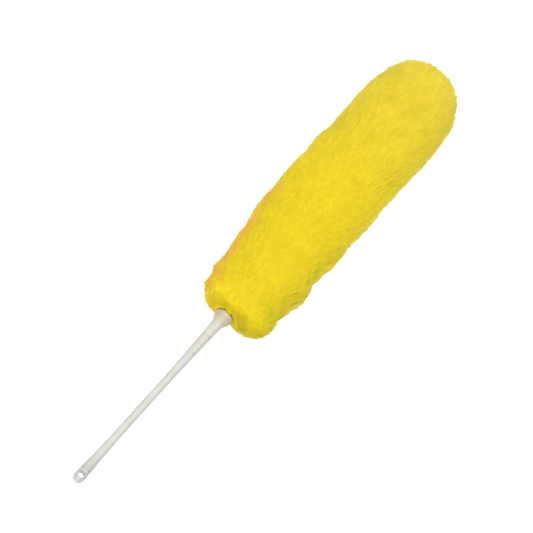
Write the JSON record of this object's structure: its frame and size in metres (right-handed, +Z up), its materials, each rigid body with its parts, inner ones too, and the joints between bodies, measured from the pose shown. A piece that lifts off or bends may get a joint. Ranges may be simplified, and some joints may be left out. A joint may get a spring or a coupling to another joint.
{
  "type": "hand duster",
  "caption": "Long fluffy duster head on a twisted wire core, with a flared collar, a slim waisted handle and a hanging eye.",
  "frame": {"origin": "bottom centre of the bounding box, on the surface that the pile rests on", "axes": "+X along the duster from the hanging eye to the head's tip, +Z up"},
  "size_m": [0.62, 0.107, 0.1022],
  "materials": {
    "clear_plastic": "semi-gloss translucent moulded plastic",
    "white_plastic": "semi-gloss milky moulded plastic",
    "cream_plastic": "satin cream moulded plastic",
    "steel": "drawn wire",
    "inner_plastic": "matt moulded plastic",
    "fleece": "soft yellow fibre pile"
  },
  "bodies": {
    "root": {"hang_eye": "clear_plastic", "handle_tube": "white_plastic", "collar": "cream_plastic", "core_wire": "steel", "core_bush": "inner_plastic", "crimp_sleeve": "steel", "tip_cap": "inner_plastic", "pile": "fleece"}
  },
  "joints": []
}
